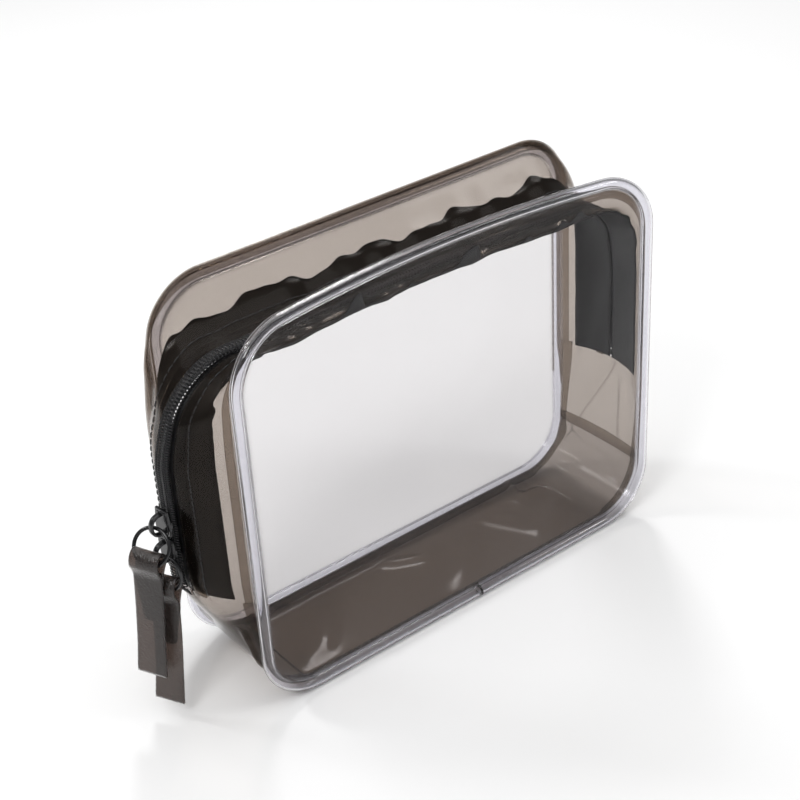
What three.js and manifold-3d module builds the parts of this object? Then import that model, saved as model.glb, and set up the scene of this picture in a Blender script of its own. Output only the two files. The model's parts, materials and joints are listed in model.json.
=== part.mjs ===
// A clear travel makeup bag with a smoky gusset and a two-way coil zip.
// Millimetres, +Z up, +X to the right and -Y to the front. The origin is on the underside, at the middle.
import * as THREE from 'three';
import { mergeVertices } from 'three/addons/utils/BufferGeometryUtils.js';
import Module from 'manifold-3d';

const degrees = THREE.MathUtils.degToRad;

// ---- driving dimensions ----
const SEAM_WIDTH = 185;          // the wall's seam line, side to side
const SEAM_BOTTOM = 2.5;
const SEAM_TOP = 149.5;
const SEAM_CORNER = 20.5;
const WALL_SPACING = 49;         // front wall to back wall
const BEAD = 5;                  // piping diameter
const FILM = 0.5;                // thickness of the PVC film
const FIT_GAP = 0.3;             // between pieces that touch

const BULGE_LEFT = 0.184;        // how far the ends belly out, as a share of x
const BULGE_RIGHT = 0.09;
const BELLY_FULL = 52;           // the ends belly out fully from this height
const BELLY_EASES = 106;         // and a little less from this one up
const BELLY_EASE = 0.45;         // share of the belly that is gone at the rims
const CREST_SHIFT = 0.08;        // the left end's crest lies behind the zip, so the zip turns to the front
const CREST_FADES = 104;         // it moves back to the middle from this height
const TURN_START = 30;           // between these heights the thickness of the zip turns with it
const TURN_END = 124;
const TOP_SAG = 17;              // how far the zip sags below the rims
const SAG_START = 60;            // the height that the sag starts from

const SLIT_HALF = 4.6;           // the film stops this far from the middle of the zip
const TAPE_OUTER = 17;
const TAPE_INNER = 0.7;
const TAPE_DEPTH = 1.1;          // the tape lies this far under the outer face of the film
const COIL_OUTER = 3;
const COIL_INNER = 0.7;
const COIL_PROUD = 1.5;
const COIL_UNDER = 0.6;          // the coil reaches this far under the outer face of the film
const STITCH_LINE = 10.25;       // from the middle of the zip
const THREAD = 0.5;
const LEFT_ZIP_END = 47;         // heights of the closed ends of the slit
const RIGHT_ZIP_END = 57;
const TAPE_CLEAR = 1;            // the tape starts this far above the closed end of the slit
const COIL_CLEAR = 3;
const TACK_CLEAR = 0.4;
const TACK_WIDTH = 2;
const TACK_HALF_LENGTH = 4;
const TACK_PROUD = 0.9;
const LEFT_SEAM = 31;
const RIGHT_SEAM = 24;
const SEAM_STRIP = 3;
const SEAM_STRIP_DEPTH = 1.6;    // from the outer face of the film to the deep face of the strip
const STATION_SPACING = 9;       // along the ends

const SLIDER_LENGTH = 11;
const SLIDER_GAP = 0.5;          // between the two sliders
const LOWER_SLIDER_BOTTOM = 62.4;
const NOSE_HALF = 4.2;           // half widths of a slider's plates
const TAIL_HALF = 3.1;
const PLATE = 1.1;
const OUTER_PLATE_X = -3.5;      // from the film's outer face at the zip, in the slider's own frame
const INNER_PLATE_X = 2.9;
const POST_HALF = 0.3;
const POST_SHARE = 0.6;          // of the slider's length
const BRIDGE_REACH = 4.9;        // outwards from the plate
const BRIDGE_HALF = 4.4;
const BRIDGE_WIRE = 1.1;
const BRIDGE_WIDTH = 2;
const RING_RADIUS = 6.7;         // to the middle of the wire
const RING_WIRE = 0.7;
const RING_OUT = 6.05;           // how far out of the film's outer face the rings hang
const RING_HEIGHT = 4.7;         // a ring hangs this far above the bottom of its slider
const PULL_YAW = degrees(30);   // the pulls turn this far from -X to the front
const STRAP_WIDTH = 10.8;
const STRAP_PLY = 0.8;
const STRAP_LENGTH = 47.5;
const SHORT_PLY = 24;            // how far the folded-back ply reaches down
const STRAP_WELD = 5;            // the plies are joined from here down
const FOLD_HALF = 2.6;           // half the inside of the fold round the ring
const FOLD_MIDDLE = 1.8;
const FOLD_HEIGHT = 3.8;

const HALF_WIDTH = SEAM_WIDTH / 2;
const HALF_SPACING = WALL_SPACING / 2;
const GUSSET_BOTTOM = 0;
const GUSSET_EDGE = HALF_SPACING - BEAD / 2 - FIT_GAP;
// the way the film at the zip faces on the left end, from -X to the front
const ZIP_YAW = Math.atan(2 * CREST_SHIFT * BULGE_LEFT * HALF_WIDTH / HALF_SPACING);

const bag = new THREE.Group();
const wasm = await Module();
wasm.setup();

function finish(color, roughness, metalness = 0) {
  return () => new THREE.MeshStandardMaterial({ color, roughness, metalness });
}

const clearPvc = finish(0xe6e5e8, 0.12);
const smokyPvc = finish(0x7d7067, 0.25);
const blackTape = finish(0x141416, 0.7);
const blackCoil = finish(0x0d0d0f, 0.35);
const blackMetal = finish(0x101012, 0.3, 0.8);
const strapPvc = finish(0x3a302c, 0.45);

function add(name, geometry, material, parent = bag) {
  const mesh = new THREE.Mesh(geometry, material());
  mesh.name = name;
  parent.add(mesh);
  return mesh;
}

// ---- the shape that the soft gusset takes ----
const smooth = THREE.MathUtils.smoothstep;

// How much the ends belly out at height z: nothing at the floor, all of it beside the zip, some at the top.
function belly(z) {
  const rise = smooth(z, SEAM_BOTTOM, BELLY_FULL);
  const fall = 1 - BELLY_EASE * smooth(z, BELLY_EASES, SEAM_TOP);
  return rise * fall;
}

// Where a point of the straight-sided gusset lies once the film has gone soft.
function settle({ x, y, z }) {
  const across = y / HALF_SPACING;
  const slack = 1 - across ** 2;
  const atLeft = x < 0 ? 1 : 0;
  const shift = atLeft * CREST_SHIFT * (1 - smooth(z, CREST_FADES, SEAM_TOP));
  const turned = atLeft * smooth(z, TURN_START, BELLY_FULL) * (1 - smooth(z, CREST_FADES, TURN_END));
  const bulge = x < 0 ? BULGE_LEFT : BULGE_RIGHT;
  const stretch = 1 + bulge * belly(z) * (1 - (across - shift * slack) ** 2);
  return new THREE.Vector3(
    x * stretch,
    y + (x + HALF_WIDTH) * stretch * Math.tan(ZIP_YAW) * turned * slack,
    z - TOP_SAG * smooth(z, SAG_START, SEAM_TOP) * slack,
  );
}

// Moves the vertices of a straight-sided gusset piece to where the soft film lies.
function billow(geometry) {
  const position = geometry.attributes.position;
  const point = new THREE.Vector3();
  for (let i = 0; i < position.count; i += 1) {
    position.setXYZ(i, ...settle(point.fromBufferAttribute(position, i)));
  }
  return geometry;
}

// ---- runs round the gusset, as stations with an outward direction ----
function sideStations(x, zStart, zEnd) {
  const count = Math.max(2, Math.round(Math.abs(zEnd - zStart) / STATION_SPACING) + 1);
  const stations = [];
  for (let i = 0; i < count; i += 1) {
    stations.push({ x, z: zStart + (zEnd - zStart) * i / (count - 1), nx: Math.sign(x), nz: 0 });
  }
  return stations;
}

function cornerStations(cx, cz, fromDegrees, toDegrees) {
  const steps = 6;
  const stations = [];
  for (let i = 1; i < steps; i += 1) {
    const angle = degrees(fromDegrees + (toDegrees - fromDegrees) * i / steps);
    const nx = Math.cos(angle);
    const nz = Math.sin(angle);
    stations.push({ x: cx + SEAM_CORNER * nx, z: cz + SEAM_CORNER * nz, nx, nz });
  }
  return stations;
}

function level(z, ...xs) {
  return xs.map((x) => ({ x, z, nx: 0, nz: z > SEAM_CORNER ? 1 : -1 }));
}

const CORNER_X = HALF_WIDTH - SEAM_CORNER;

// Up the left end from leftZ, along the top and down the right end to rightZ.
function runOverTop(leftZ, rightZ) {
  const cornerZ = SEAM_TOP - SEAM_CORNER;
  return [
    ...sideStations(-HALF_WIDTH, leftZ, cornerZ),
    ...cornerStations(-CORNER_X, cornerZ, 180, 90),
    ...level(SEAM_TOP, -CORNER_X, CORNER_X),
    ...cornerStations(CORNER_X, cornerZ, 90, 0),
    ...sideStations(HALF_WIDTH, cornerZ, rightZ),
  ];
}

// Down the right end from rightZ, along the floor and up the left end to leftZ.
// The floor is split off the middle, so that the middle lies inside one flat facet.
function runUnderneath(rightZ, leftZ) {
  const cornerZ = GUSSET_BOTTOM + SEAM_CORNER;
  return [
    ...sideStations(HALF_WIDTH, rightZ, cornerZ),
    ...cornerStations(CORNER_X, cornerZ, 0, -90),
    ...level(GUSSET_BOTTOM, CORNER_X, 45, -30, -CORNER_X),
    ...cornerStations(-CORNER_X, cornerZ, -90, -180),
    ...sideStations(-HALF_WIDTH, cornerZ, leftZ),
  ];
}

// A strip that follows a run: between two depths under the film's outer face, and between two y.
function strip(run, deepFace, outerFace, yFront, yBack, steps) {
  const outline = new THREE.Shape();
  const outer = run.map((s) => new THREE.Vector2(s.x + s.nx * outerFace, s.z + s.nz * outerFace));
  const inner = run.map((s) => new THREE.Vector2(s.x + s.nx * deepFace, s.z + s.nz * deepFace));
  outline.setFromPoints([...outer, ...inner.reverse()]);
  const geometry = new THREE.ExtrudeGeometry(outline, { depth: yBack - yFront, steps, bevelEnabled: false });
  geometry.rotateX(Math.PI / 2);
  geometry.translate(0, yBack, 0);
  return billow(geometry);
}

// A square thread laid along a run on the outer face of the film, at y.
function thread(run, y) {
  const height = FIT_GAP + THREAD / 2;
  const onFilm = (s, across) => settle(new THREE.Vector3(s.x + s.nx * height, across, s.z + s.nz * height));
  const middles = run.map((s) => onFilm(s, y));
  const vertices = [];
  run.forEach((s, i) => {
    const before = middles[Math.max(i - 1, 0)];
    const after = middles[Math.min(i + 1, run.length - 1)];
    const along = new THREE.Vector3().subVectors(after, before).normalize();
    const over = onFilm(s, y + THREAD).sub(onFilm(s, y - THREAD)).normalize().multiplyScalar(THREAD / 2);
    const out = new THREE.Vector3().crossVectors(over, along);
    for (const [a, b] of [[-1, -1], [1, -1], [1, 1], [-1, 1]]) {
      vertices.push(...middles[i].clone().addScaledVector(over, a).addScaledVector(out, b));
    }
  });
  const faces = [0, 1, 2, 0, 2, 3];
  for (let i = 0; i < run.length - 1; i += 1) {
    for (let corner = 0; corner < 4; corner += 1) {
      const a = 4 * i + corner;
      const b = 4 * i + (corner + 1) % 4;
      faces.push(a, a + 4, b, b, a + 4, b + 4);
    }
  }
  const last = 4 * (run.length - 1);
  faces.push(last, last + 2, last + 1, last, last + 3, last + 2);
  const geometry = new THREE.BufferGeometry();
  geometry.setAttribute('position', new THREE.Float32BufferAttribute(vertices, 3));
  geometry.setIndex(faces);
  return geometry;
}

// ---- walls and piping ----
// The wall outline, moved out by `grow` from the seam line.
function wallOutline(grow, PathClass = THREE.Shape) {
  const w = HALF_WIDTH + grow;
  const bottom = SEAM_BOTTOM - grow;
  const top = SEAM_TOP + grow;
  const r = SEAM_CORNER + grow;
  const path = new PathClass();
  path.moveTo(-w + r, bottom);
  path.lineTo(w - r, bottom);
  path.absarc(w - r, bottom + r, r, -Math.PI / 2, 0);
  path.lineTo(w, top - r);
  path.absarc(w - r, top - r, r, 0, Math.PI / 2);
  path.lineTo(-w + r, top);
  path.absarc(-w + r, top - r, r, Math.PI / 2, Math.PI);
  path.lineTo(-w, bottom + r);
  path.absarc(-w + r, bottom + r, r, Math.PI, 1.5 * Math.PI);
  return path;
}

function wall(y) {
  const geometry = new THREE.ExtrudeGeometry(wallOutline(-BEAD / 2 - FIT_GAP), {
    depth: FILM, bevelEnabled: false, curveSegments: 8,
  });
  geometry.rotateX(Math.PI / 2);
  geometry.translate(0, y + FILM / 2, 0);
  return geometry;
}

// A bead with an eight-sided section, all the way round a wall.
function piping(y) {
  const chamfer = BEAD * 0.29;
  const outline = wallOutline(BEAD / 2);
  outline.holes.push(wallOutline(-BEAD / 2, THREE.Path));
  const geometry = new THREE.ExtrudeGeometry(outline, {
    depth: BEAD - 2 * chamfer,
    bevelThickness: chamfer,
    bevelSize: chamfer,
    bevelOffset: -chamfer,
    bevelSegments: 1,
    curveSegments: 8,
  });
  geometry.rotateX(Math.PI / 2);
  geometry.translate(0, y + BEAD / 2 - chamfer, 0);
  return geometry;
}

for (const [side, y] of [['front', -HALF_SPACING], ['back', HALF_SPACING]]) {
  add(`${side}_panel`, wall(y), clearPvc);
  add(`${side}_piping`, piping(y), clearPvc);
}

// ---- gussets ----
add(
  'bottom_gusset',
  strip(runUnderneath(RIGHT_ZIP_END, LEFT_ZIP_END), -FILM, 0, -GUSSET_EDGE, GUSSET_EDGE, 7),
  smokyPvc,
);

function seamStrip(x, z) {
  const run = sideStations(x, z - SEAM_STRIP / 2, z + SEAM_STRIP / 2);
  const outerFace = FILM - SEAM_STRIP_DEPTH;
  return strip(x > 0 ? run.reverse() : run, -SEAM_STRIP_DEPTH, outerFace, -GUSSET_EDGE, GUSSET_EDGE, 7);
}

add('left_gusset_seam', seamStrip(-HALF_WIDTH, LEFT_SEAM), smokyPvc);
add('right_gusset_seam', seamStrip(HALF_WIDTH, RIGHT_SEAM), smokyPvc);

// Mirrors a span of y to the front or back half of the bag.
function spanOf(side, near, far) {
  return side === 'back' ? [near, far] : [-far, -near];
}

for (const side of ['front', 'back']) {
  const filmRun = runOverTop(LEFT_ZIP_END + FIT_GAP, RIGHT_ZIP_END + FIT_GAP);
  const tapeRun = runOverTop(LEFT_ZIP_END + TAPE_CLEAR, RIGHT_ZIP_END + TAPE_CLEAR);
  const coilRun = runOverTop(LEFT_ZIP_END + COIL_CLEAR, RIGHT_ZIP_END + COIL_CLEAR);
  add(`${side}_zip_gusset`, strip(filmRun, -FILM, 0, ...spanOf(side, SLIT_HALF, GUSSET_EDGE), 3), smokyPvc);
  add(
    `${side}_zip_tape`,
    strip(tapeRun, -TAPE_DEPTH - FILM, -TAPE_DEPTH, ...spanOf(side, TAPE_INNER, TAPE_OUTER), 3),
    blackTape,
  );
  add(
    `${side}_coil`,
    strip(coilRun, -COIL_UNDER, COIL_PROUD, ...spanOf(side, COIL_INNER, COIL_OUTER), 1),
    blackCoil,
  );
  add(`${side}_tape_stitching`, thread(coilRun, side === 'back' ? STITCH_LINE : -STITCH_LINE), blackTape);
}

// A block of thread over the end of the coils.
function barTack(x, zipEnd) {
  const bottom = zipEnd + TACK_CLEAR;
  const run = sideStations(x, bottom, bottom + TACK_WIDTH);
  return strip(
    x > 0 ? run.reverse() : run, -COIL_UNDER, TACK_PROUD, -TACK_HALF_LENGTH, TACK_HALF_LENGTH, 1,
  );
}

add('left_bar_tack', barTack(-HALF_WIDTH, LEFT_ZIP_END), blackTape);
add('right_bar_tack', barTack(HALF_WIDTH, RIGHT_ZIP_END), blackTape);

// ---- sliders and pulls ----
function toManifold(geometry) {
  const bare = geometry.clone();
  bare.deleteAttribute('normal');
  bare.deleteAttribute('uv');
  const merged = mergeVertices(bare, 1e-4);
  return new wasm.Manifold(new wasm.Mesh({
    numProp: 3,
    vertProperties: Float32Array.from(merged.attributes.position.array),
    triVerts: Uint32Array.from(merged.index.array),
  }));
}

function unite(...geometries) {
  const mesh = geometries.map(toManifold).reduce((all, next) => all.add(next)).getMesh();
  const geometry = new THREE.BufferGeometry();
  geometry.setAttribute('position', new THREE.BufferAttribute(mesh.vertProperties, 3));
  geometry.setIndex(new THREE.BufferAttribute(mesh.triVerts, 1));
  geometry.computeVertexNormals();
  return geometry;
}

// Lays a shape drawn as (y, z) in the plane across x, and gives it thickness towards +x from x.
function plateAcross(shape, x, thickness, curveSegments = 6) {
  const geometry = new THREE.ExtrudeGeometry(shape, { depth: thickness, bevelEnabled: false, curveSegments });
  const drawnToPlace = new THREE.Matrix4().makeBasis(
    new THREE.Vector3(0, 1, 0),
    new THREE.Vector3(0, 0, 1),
    new THREE.Vector3(1, 0, 0),
  );
  geometry.applyMatrix4(drawnToPlace);
  geometry.translate(x, 0, 0);
  return geometry;
}

// The shield outline of a slider's plates, wide at the nose; `up` is +1 when the nose is at the top.
function shield(up) {
  const end = SLIDER_LENGTH / 2 * up;
  const shoulder = 0.3 * end;
  const tip = 0.45 * NOSE_HALF;
  const shape = new THREE.Shape();
  shape.moveTo(-TAIL_HALF, -end);
  shape.lineTo(TAIL_HALF, -end);
  shape.lineTo(NOSE_HALF, shoulder);
  shape.quadraticCurveTo(NOSE_HALF, end, tip, end);
  shape.lineTo(-tip, end);
  shape.quadraticCurveTo(-NOSE_HALF, end, -NOSE_HALF, shoulder);
  shape.closePath();
  return shape;
}

function sliderBody(up) {
  const postWidth = 2 * POST_HALF;
  const post = new THREE.BoxGeometry(INNER_PLATE_X - OUTER_PLATE_X, postWidth, SLIDER_LENGTH * POST_SHARE);
  post.translate((OUTER_PLATE_X + INNER_PLATE_X + PLATE) / 2, 0, 0);
  return unite(
    plateAcross(shield(up), OUTER_PLATE_X, PLATE),
    plateAcross(shield(up), INNER_PLATE_X, PLATE),
    post,
  );
}

// An outline of the bridge, from its upper foot over the crown to its lower foot, as (x, z).
function bridgeArc(path, foot, reach, half) {
  path.moveTo(foot, half);
  path.bezierCurveTo(foot - reach * 0.9, half, foot - reach, half * 0.5, foot - reach, 0);
  path.bezierCurveTo(foot - reach, -half * 0.9, foot - reach * 0.8, -half, foot, -half);
  path.closePath();
  return path;
}

// The bridge over a slider's outer plate, with an eye for the ring.
function sliderBridge() {
  const foot = OUTER_PLATE_X - FIT_GAP;
  const shape = bridgeArc(new THREE.Shape(), foot, BRIDGE_REACH, BRIDGE_HALF);
  const eyeFoot = foot - 0.5;
  const eyeReach = BRIDGE_REACH - BRIDGE_WIRE - 0.5;
  shape.holes.push(bridgeArc(new THREE.Path(), eyeFoot, eyeReach, BRIDGE_HALF - BRIDGE_WIRE));
  const geometry = new THREE.ExtrudeGeometry(shape, {
    depth: BRIDGE_WIDTH, bevelEnabled: false, curveSegments: 6,
  });
  geometry.rotateX(Math.PI / 2);
  geometry.translate(0, BRIDGE_WIDTH / 2, 0);
  return geometry;
}

// A strap folded through its ring, drawn as (outwards, up) about the ring's lowest wire.
function strapGeometry() {
  const outside = FOLD_HALF + STRAP_PLY;
  const shape = new THREE.Shape();
  shape.moveTo(STRAP_PLY, -STRAP_LENGTH);
  shape.lineTo(STRAP_PLY, -STRAP_WELD);
  shape.lineTo(outside, FOLD_MIDDLE - 0.6);
  shape.absellipse(0, FOLD_MIDDLE, outside, FOLD_HEIGHT + STRAP_PLY, 0, Math.PI, false);
  shape.lineTo(-STRAP_PLY, -STRAP_WELD);
  shape.lineTo(-STRAP_PLY, -SHORT_PLY);
  shape.lineTo(0, -SHORT_PLY);
  shape.lineTo(0, -STRAP_LENGTH);
  const hole = new THREE.Path();
  hole.moveTo(0, 1.6 - STRAP_WELD);
  hole.lineTo(FOLD_HALF, FOLD_MIDDLE);
  hole.absellipse(0, FOLD_MIDDLE, FOLD_HALF, FOLD_HEIGHT, 0, Math.PI, false);
  hole.closePath();
  shape.holes.push(hole);
  return plateAcross(shape, -STRAP_WIDTH / 2, STRAP_WIDTH, 10);
}

// A slider with its bridge, ring and strap. Its ring leans out from the bridge by `lean`. Seen from outside
// the bag, the ring and the strap hang to the back of plumb by their tilts.
function slider({ name, bottom, noseUp, lean, ringTilt, strapTilt }) {
  const onZip = new THREE.Group();
  onZip.position.copy(settle(new THREE.Vector3(-HALF_WIDTH, 0, bottom)));
  onZip.position.z = bottom;
  onZip.rotation.z = ZIP_YAW;
  bag.add(onZip);
  add(`${name}_slider_body`, sliderBody(noseUp), blackMetal, onZip).position.z = SLIDER_LENGTH / 2;
  add(`${name}_slider_bridge`, sliderBridge(), blackMetal, onZip).position.z = SLIDER_LENGTH / 2;
  const pull = new THREE.Group();
  pull.position.set(-RING_OUT, 0, RING_HEIGHT);
  pull.rotation.z = Math.PI / 2 + PULL_YAW - ZIP_YAW;
  onZip.add(pull);
  const swing = new THREE.Group();
  swing.rotation.x = lean;
  pull.add(swing);
  const down = (tilt) => new THREE.Vector3(Math.sin(tilt), 0, -Math.cos(tilt)).multiplyScalar(RING_RADIUS);
  const wire = new THREE.TorusGeometry(RING_RADIUS, RING_WIRE, 8, 28);
  wire.rotateX(Math.PI / 2);
  const centre = down(ringTilt);
  add(`${name}_ring`, wire, blackMetal, swing).position.copy(centre);
  const hook = new THREE.Group();
  hook.position.copy(centre).add(down(strapTilt));
  hook.rotation.x = -lean;
  swing.add(hook);
  add(`${name}_strap`, strapGeometry(), strapPvc, hook).rotation.y = -strapTilt;
}

slider({
  name: 'lower',
  bottom: LOWER_SLIDER_BOTTOM,
  noseUp: 1,
  lean: degrees(9),
  ringTilt: degrees(-8),
  strapTilt: degrees(3),
});
slider({
  name: 'upper',
  bottom: LOWER_SLIDER_BOTTOM + SLIDER_LENGTH + SLIDER_GAP,
  noseUp: -1,
  lean: degrees(30),
  ringTilt: degrees(8),
  strapTilt: degrees(5),
});

export default bag;
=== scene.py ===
"""A clear travel makeup bag: smoky gusset, clear piped walls, black two-way coil zip with two strap pulls."""
import json
import math

import bmesh
import bpy
import numpy as np
from mathutils import Matrix, Vector


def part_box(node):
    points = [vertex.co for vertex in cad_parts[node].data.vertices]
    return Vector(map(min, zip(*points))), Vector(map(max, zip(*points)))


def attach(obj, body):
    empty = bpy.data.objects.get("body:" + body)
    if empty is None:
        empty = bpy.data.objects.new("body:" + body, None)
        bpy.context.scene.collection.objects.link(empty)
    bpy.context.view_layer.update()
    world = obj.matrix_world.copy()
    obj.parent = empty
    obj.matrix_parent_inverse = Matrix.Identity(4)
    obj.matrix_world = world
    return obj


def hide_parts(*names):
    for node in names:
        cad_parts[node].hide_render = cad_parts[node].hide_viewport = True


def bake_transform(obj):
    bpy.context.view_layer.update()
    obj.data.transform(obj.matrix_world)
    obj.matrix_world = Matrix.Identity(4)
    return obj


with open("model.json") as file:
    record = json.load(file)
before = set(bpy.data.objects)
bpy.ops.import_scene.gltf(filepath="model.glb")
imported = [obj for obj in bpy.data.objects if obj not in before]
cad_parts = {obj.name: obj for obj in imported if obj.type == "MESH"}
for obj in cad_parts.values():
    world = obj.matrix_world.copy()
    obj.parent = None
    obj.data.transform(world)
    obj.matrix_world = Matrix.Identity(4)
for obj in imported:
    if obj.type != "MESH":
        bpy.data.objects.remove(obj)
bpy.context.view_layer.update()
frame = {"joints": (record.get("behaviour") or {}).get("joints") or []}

MM = 0.001


def box_mm(node):
    """A node's lowest and highest corners, in millimetres."""
    low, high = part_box(node)
    return np.array(low) / MM, np.array(high) / MM


# ---- sizes, in millimetres, from the frame ----
PIPING_LOW, PIPING_HIGH = box_mm("front_piping")
BEAD_RADIUS = (PIPING_HIGH - PIPING_LOW)[1] / 2
HALF_WIDTH = PIPING_HIGH[0] - BEAD_RADIUS
SEAM_BOTTOM = PIPING_LOW[2] + BEAD_RADIUS
SEAM_TOP = PIPING_HIGH[2] - BEAD_RADIUS
HALF_SPACING = -(PIPING_LOW[1] + PIPING_HIGH[1]) / 2
CORNER = 20.5
LEFT_ZIP_END = box_mm("left_bar_tack")[0][2]
RIGHT_ZIP_END = box_mm("right_bar_tack")[0][2]
LEFT_SEAM = sum(box_mm("left_gusset_seam"))[2] / 2
RIGHT_SEAM = sum(box_mm("right_gusset_seam"))[2] / 2

# The gusset's soft shape is the frame's own, except that its belly starts and fills a little higher.
BULGE_LEFT = 0.184
BULGE_RIGHT = 0.09
BELLY_START = 11.0
BELLY_FULL = 57.0
TURN_FULL = 52.0
BELLY_EASES = 106.0
BELLY_EASE = 0.45
TOP_SAG = 17.0
SAG_START = 60.0
FRONT_BOW_IN = 6.0
FRONT_BOW_UP = 3.0
FRONT_BOW_BACK = 5.0
CREST_SHIFT = 0.08
CREST_FADES = 104.0
TURN_START = 30.0
TURN_END = 124.0
ZIP_YAW = math.atan(2 * CREST_SHIFT * BULGE_LEFT * HALF_WIDTH / HALF_SPACING)

FILM = 0.5
FILM_EDGE = HALF_SPACING - BEAD_RADIUS + 0.3
FLOOR_GAP = 0.15
FLOOR_FLAT = 17.0
FLOOR_LIFTED = 22.5


# ---- small helpers ----
def smooth(value, low, high):
    """0 below low and 1 above high, with a soft step between them."""
    t = np.clip((value - low) / (high - low), 0.0, 1.0)
    return t * t * (3 - 2 * t)


def wander(s, seed, waves):
    """A smooth irregular wave along s: a few lengths and heights, each with its own fixed phase."""
    phases = np.random.default_rng(seed).uniform(0, 2 * np.pi, len(waves))
    total = np.zeros_like(np.asarray(s, float))
    for (length, height), phase in zip(waves, phases):
        total += height * np.sin(2 * np.pi * s / length + phase)
    return total


def ridge(u, v, start, end, height, width):
    """A soft ridge from one place on a sheet to another; it dies out at both."""
    du, dv = end[0] - start[0], end[1] - start[1]
    length = math.hypot(du, dv)
    along = ((u - start[0]) * du + (v - start[1]) * dv) / length ** 2
    off = ((u - start[0]) * dv - (v - start[1]) * du) / length
    fade = smooth(along, -0.15, 0.3) * (1 - smooth(along, 0.7, 1.15))
    return height * fade * np.exp(-(off / width) ** 2)


def mesh_object(name, points, faces, material, shade=True):
    """A mesh object from points in millimetres."""
    mesh = bpy.data.meshes.new(name)
    mesh.from_pydata((np.asarray(points) * MM).tolist(), [], faces)
    mesh.validate()
    mesh.update()
    obj = bpy.data.objects.new(name, mesh)
    bpy.context.scene.collection.objects.link(obj)
    obj.data.materials.append(material)
    if shade:
        mesh.polygons.foreach_set("use_smooth", [True] * len(mesh.polygons))
    return obj


def grid_faces(rows, columns, closed_rows=False, closed_columns=False, start=0, flip=False):
    """Quads over a grid of points stored row by row."""
    faces = []
    for i in range(rows if closed_rows else rows - 1):
        for j in range(columns if closed_columns else columns - 1):
            a = start + i * columns + j
            b = start + i * columns + (j + 1) % columns
            c = start + (i + 1) % rows * columns + (j + 1) % columns
            d = start + (i + 1) % rows * columns + j
            faces.append((a, d, c, b) if flip else (a, b, c, d))
    return faces


def sheet_solid(outer, inner, open_start=False, open_end=False):
    """Points and faces of a sheet between two grids of the same size. An end that runs on into another
    sheet is left open."""
    rows, columns = outer.shape[:2]
    count = rows * columns
    points = np.concatenate([outer.reshape(-1, 3), inner.reshape(-1, 3)])
    faces = grid_faces(rows, columns) + grid_faces(rows, columns, start=count, flip=True)
    last = (rows - 1) * columns
    edges = [(i * columns + columns - 1, (i + 1) * columns + columns - 1) for i in range(rows - 1)]
    edges += [((i + 1) * columns, i * columns) for i in range(rows - 1)]
    if not open_start:
        edges += [(j, j + 1) for j in range(columns - 1)]
    if not open_end:
        edges += [(last + j + 1, last + j) for j in range(columns - 1)]
    faces += [(a, a + count, b + count, b) for a, b in edges]
    return points, faces


def joined(parts):
    """One list of points and faces from several."""
    points, faces, start = [], [], 0
    for part_points, part_faces in parts:
        points.append(np.asarray(part_points))
        faces += [tuple(start + i for i in face) for face in part_faces]
        start += len(part_points)
    return np.concatenate(points), faces


def path_frames(path, closed=False):
    """Two directions across a path at each point, carried along it without twist."""
    ahead = np.roll(path, -1, 0) - np.roll(path, 1, 0)
    if not closed:
        ahead[0] = path[1] - path[0]
        ahead[-1] = path[-1] - path[-2]
    ahead /= np.linalg.norm(ahead, axis=1)[:, None]
    across = np.zeros_like(path)
    seed = np.array([0.0, 1.0, 0.0]) if abs(ahead[0][1]) < 0.9 else np.array([1.0, 0.0, 0.0])
    for i, direction in enumerate(ahead):
        seed = seed - direction * (seed @ direction)
        seed /= np.linalg.norm(seed)
        across[i] = seed
    return across, np.cross(ahead, across)


def tube(path, radius, sides=12, closed=False, bore=None):
    """A solid or hollow tube along a path."""
    path = np.asarray(path, float)
    across, over = path_frames(path, closed)
    angles = np.linspace(0, 2 * np.pi, sides, endpoint=False)
    ring = np.cos(angles)[None, :, None] * across[:, None] + np.sin(angles)[None, :, None] * over[:, None]
    outer = path[:, None] + radius * ring
    rows = len(path)
    faces = grid_faces(rows, sides, closed_rows=closed, closed_columns=True)
    if bore is None:
        points = outer.reshape(-1, 3)
        if not closed:
            faces.append(tuple(range(sides - 1, -1, -1)))
            faces.append(tuple((rows - 1) * sides + j for j in range(sides)))
        return points, faces
    count = rows * sides
    inner = path[:, None] + bore * ring
    points = np.concatenate([outer.reshape(-1, 3), inner.reshape(-1, 3)])
    faces += grid_faces(rows, sides, closed_rows=closed, closed_columns=True, start=count, flip=True)
    if not closed:
        last = (rows - 1) * sides
        for j in range(sides):
            k = (j + 1) % sides
            faces.append((k, j, count + j, count + k))
            faces.append((last + j, last + k, count + last + k, count + last + j))
    return points, faces


# ---- the seam line, as a run round the bag ----
STRAIGHT_X = HALF_WIDTH - CORNER
TOP_CENTRE_Z = SEAM_TOP - CORNER
LOW_CENTRE_Z = SEAM_BOTTOM + CORNER
ARC = CORNER * math.pi / 2
RUN_LENGTHS = [STRAIGHT_X, ARC, TOP_CENTRE_Z - LOW_CENTRE_Z, ARC, 2 * STRAIGHT_X, ARC,
               TOP_CENTRE_Z - LOW_CENTRE_Z, ARC, STRAIGHT_X]
RUN_MARKS = np.concatenate([[0.0], np.cumsum(RUN_LENGTHS)])
RUN_TOTAL = RUN_MARKS[-1]
LEFT_LOW, LEFT_HIGH = RUN_MARKS[2], RUN_MARKS[3]
RIGHT_HIGH, RIGHT_LOW = RUN_MARKS[6], RUN_MARKS[7]


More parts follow.
